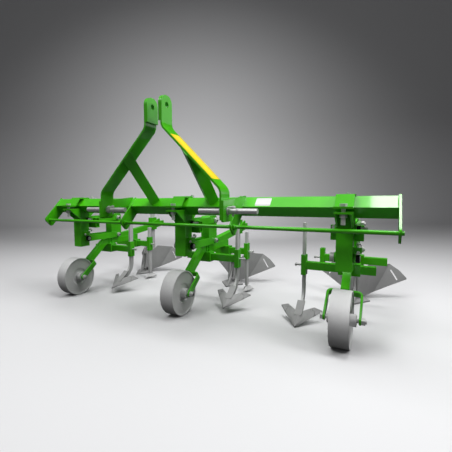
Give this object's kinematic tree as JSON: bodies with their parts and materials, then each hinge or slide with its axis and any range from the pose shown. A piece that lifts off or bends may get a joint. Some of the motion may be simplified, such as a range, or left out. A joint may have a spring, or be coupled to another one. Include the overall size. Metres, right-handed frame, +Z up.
{
  "type": "tractor ridger",
  "caption": "Three-row tractor ridger: a hitch mast and square toolbar carry floating row units, each with a wheel, hoes and a ridging body with two wings.",
  "frame": {"origin": "on the ground under the middle of the machine's outline", "axes": "+X along the toolbar, to the right of someone who faces the hitch side; +Y to the machine's rear, away from the tractor; +Z up"},
  "size_m": [1.9512, 1.1109, 1.028],
  "materials": {
    "green_paint": "gloss",
    "grey_paint": "satin",
    "wheel_grey": "satin",
    "zinc": "zinc plated",
    "black_steel": "blackened"
  },
  "bodies": {
    "toolbar": {"toolbar_beam": "green_paint", "end_plates": "green_paint", "rod_plates": "green_paint", "tie_rod": "green_paint", "mast_left": "green_paint", "mast_right": "green_paint", "mast_braces": "green_paint", "hitch_plates": "green_paint", "hitch_pins": "zinc", "linch_pins": "zinc", "column_left": "green_paint", "column_middle": "green_paint", "column_right": "green_paint", "clamp_caps": "green_paint", "clamp_bolts": "zinc", "pivot_pins": "zinc", "pivot_nuts": "black_steel", "stop_screws": "zinc"},
    "lower_arm_left": {"lower_arm_left": "green_paint"},
    "upper_arm_left": {"upper_arm_left": "green_paint"},
    "row_left": {"row_frame_left": "green_paint", "tool_bars_left": "green_paint", "wheel_fork_left": "green_paint", "unit_fasteners_left": "zinc"},
    "wheel_left": {"wheel_left": "wheel_grey"},
    "front_hoe_left": {"hoe_leg_left": "grey_paint", "hoe_sweep_left": "grey_paint"},
    "back_hoe_left": {"rear_hoe_left": "grey_paint"},
    "ridger_left": {"ridger_leg_left": "grey_paint", "ridger_body_left": "grey_paint"},
    "left_board_left": {"left_board_left": "grey_paint"},
    "right_board_left": {"right_board_left": "grey_paint"},
    "lower_arm_middle": {"lower_arm_middle": "green_paint"},
    "upper_arm_middle": {"upper_arm_middle": "green_paint"},
    "row_middle": {"row_frame_middle": "green_paint", "tool_bars_middle": "green_paint", "wheel_fork_middle": "green_paint", "unit_fasteners_middle": "zinc"},
    "wheel_middle": {"wheel_middle": "wheel_grey"},
    "front_hoe_middle": {"hoe_leg_middle": "grey_paint", "hoe_sweep_middle": "grey_paint"},
    "back_hoe_middle": {"rear_hoe_middle": "grey_paint"},
    "ridger_middle": {"ridger_leg_middle": "grey_paint", "ridger_body_middle": "grey_paint"},
    "left_board_middle": {"left_board_middle": "grey_paint"},
    "right_board_middle": {"right_board_middle": "grey_paint"},
    "lower_arm_right": {"lower_arm_right": "green_paint"},
    "upper_arm_right": {"upper_arm_right": "green_paint"},
    "row_right": {"row_frame_right": "green_paint", "tool_bars_right": "green_paint", "wheel_fork_right": "green_paint", "unit_fasteners_right": "zinc"},
    "wheel_right": {"wheel_right": "wheel_grey"},
    "front_hoe_right": {"hoe_leg_right": "grey_paint", "hoe_sweep_right": "grey_paint"},
    "ridger_right": {"ridger_leg_right": "grey_paint", "ridger_body_right": "grey_paint"},
    "left_board_right": {"left_board_right": "grey_paint"},
    "right_board_right": {"right_board_right": "grey_paint"}
  },
  "joints": [
    {"name": "lift_left", "type": "hinge", "parent": "toolbar", "child": "lower_arm_left", "pos_m": [-0.77336, -0.2955, 0.338], "axis": [1, 0, 0], "range_deg": [-22, 0]},
    {"name": "upper_arm_swing_left", "type": "hinge", "parent": "toolbar", "child": "upper_arm_left", "pos_m": [-0.77336, -0.2955, 0.455], "axis": [1, 0, 0], "range_deg": [-22, 0]},
    {"name": "row_level_left", "type": "hinge", "parent": "lower_arm_left", "child": "row_left", "pos_m": [-0.77336, -0.0255, 0.338], "axis": [1, 0, 0], "range_deg": [0, 22]},
    {"name": "wheel_spin_left", "type": "hinge", "parent": "row_left", "child": "wheel_left", "pos_m": [-0.77336, -0.3605, 0.111], "axis": [1, 0, 0], "continuous": true},
    {"name": "front_hoe_depth_left", "type": "slide", "parent": "row_left", "child": "front_hoe_left", "axis": [0, 0, 1], "range_m": [-0.12, 0.03]},
    {"name": "rear_hoe_depth_left", "type": "slide", "parent": "row_left", "child": "back_hoe_left", "axis": [0, 0, 1], "range_m": [-0.06, 0.12]},
    {"name": "ridger_depth_left", "type": "slide", "parent": "row_left", "child": "ridger_left", "axis": [0, 0, 1], "range_m": [-0.1, 0.1]},
    {"name": "left_board_angle_left", "type": "hinge", "parent": "ridger_left", "child": "left_board_left", "pos_m": [-0.78936, 0.2965, 0.034], "axis": [0, 0.2203, 0.9754], "range_deg": [-1, 22]},
    {"name": "right_board_angle_left", "type": "hinge", "parent": "ridger_left", "child": "right_board_left", "pos_m": [-0.75736, 0.2965, 0.034], "axis": [0, 0.2203, 0.9754], "range_deg": [-8, 16]},
    {"name": "lift_middle", "type": "hinge", "parent": "toolbar", "child": "lower_arm_middle", "pos_m": [-0.02336, -0.2955, 0.338], "axis": [1, 0, 0], "range_deg": [-22, 0]},
    {"name": "upper_arm_swing_middle", "type": "hinge", "parent": "toolbar", "child": "upper_arm_middle", "pos_m": [-0.02336, -0.2955, 0.455], "axis": [1, 0, 0], "range_deg": [-22, 0]},
    {"name": "row_level_middle", "type": "hinge", "parent": "lower_arm_middle", "child": "row_middle", "pos_m": [-0.02336, -0.0255, 0.338], "axis": [1, 0, 0], "range_deg": [0, 22]},
    {"name": "wheel_spin_middle", "type": "hinge", "parent": "row_middle", "child": "wheel_middle", "pos_m": [-0.02336, -0.3605, 0.111], "axis": [1, 0, 0], "continuous": true},
    {"name": "front_hoe_depth_middle", "type": "slide", "parent": "row_middle", "child": "front_hoe_middle", "axis": [0, 0, 1], "range_m": [-0.12, 0.03]},
    {"name": "rear_hoe_depth_middle", "type": "slide", "parent": "row_middle", "child": "back_hoe_middle", "axis": [0, 0, 1], "range_m": [-0.06, 0.12]},
    {"name": "ridger_depth_middle", "type": "slide", "parent": "row_middle", "child": "ridger_middle", "axis": [0, 0, 1], "range_m": [-0.1, 0.1]},
    {"name": "left_board_angle_middle", "type": "hinge", "parent": "ridger_middle", "child": "left_board_middle", "pos_m": [-0.03936, 0.2965, 0.034], "axis": [0, 0.2203, 0.9754], "range_deg": [-1, 22]},
    {"name": "right_board_angle_middle", "type": "hinge", "parent": "ridger_middle", "child": "right_board_middle", "pos_m": [-0.00736, 0.2965, 0.034], "axis": [0, 0.2203, 0.9754], "range_deg": [-8, 16]},
    {"name": "lift_right", "type": "hinge", "parent": "toolbar", "child": "lower_arm_right", "pos_m": [0.72664, -0.2955, 0.338], "axis": [1, 0, 0], "range_deg": [-22, 0]},
    {"name": "upper_arm_swing_right", "type": "hinge", "parent": "toolbar", "child": "upper_arm_right", "pos_m": [0.72664, -0.2955, 0.455], "axis": [1, 0, 0], "range_deg": [-22, 0]},
    {"name": "row_level_right", "type": "hinge", "parent": "lower_arm_right", "child": "row_right", "pos_m": [0.72664, -0.0255, 0.338], "axis": [1, 0, 0], "range_deg": [0, 22]},
    {"name": "wheel_spin_right", "type": "hinge", "parent": "row_right", "child": "wheel_right", "pos_m": [0.72664, -0.3605, 0.111], "axis": [1, 0, 0], "continuous": true},
    {"name": "front_hoe_depth_right", "type": "slide", "parent": "row_right", "child": "front_hoe_right", "axis": [0, 0, 1], "range_m": [-0.12, 0.03]},
    {"name": "ridger_depth_right", "type": "slide", "parent": "row_right", "child": "ridger_right", "axis": [0, 0, 1], "range_m": [-0.1, 0.1]},
    {"name": "left_board_angle_right", "type": "hinge", "parent": "ridger_right", "child": "left_board_right", "pos_m": [0.71064, 0.2965, 0.034], "axis": [0, 0.2203, 0.9754], "range_deg": [-1, 22]},
    {"name": "right_board_angle_right", "type": "hinge", "parent": "ridger_right", "child": "right_board_right", "pos_m": [0.74264, 0.2965, 0.034], "axis": [0, 0.2203, 0.9754], "range_deg": [-8, 16]}
  ],
  "couplings": [
    {"joint": "upper_arm_swing_left", "follows": "lift_left", "ratio": 1},
    {"joint": "row_level_left", "follows": "lift_left", "ratio": -1},
    {"joint": "upper_arm_swing_middle", "follows": "lift_middle", "ratio": 1},
    {"joint": "row_level_middle", "follows": "lift_middle", "ratio": -1},
    {"joint": "upper_arm_swing_right", "follows": "lift_right", "ratio": 1},
    {"joint": "row_level_right", "follows": "lift_right", "ratio": -1}
  ]
}
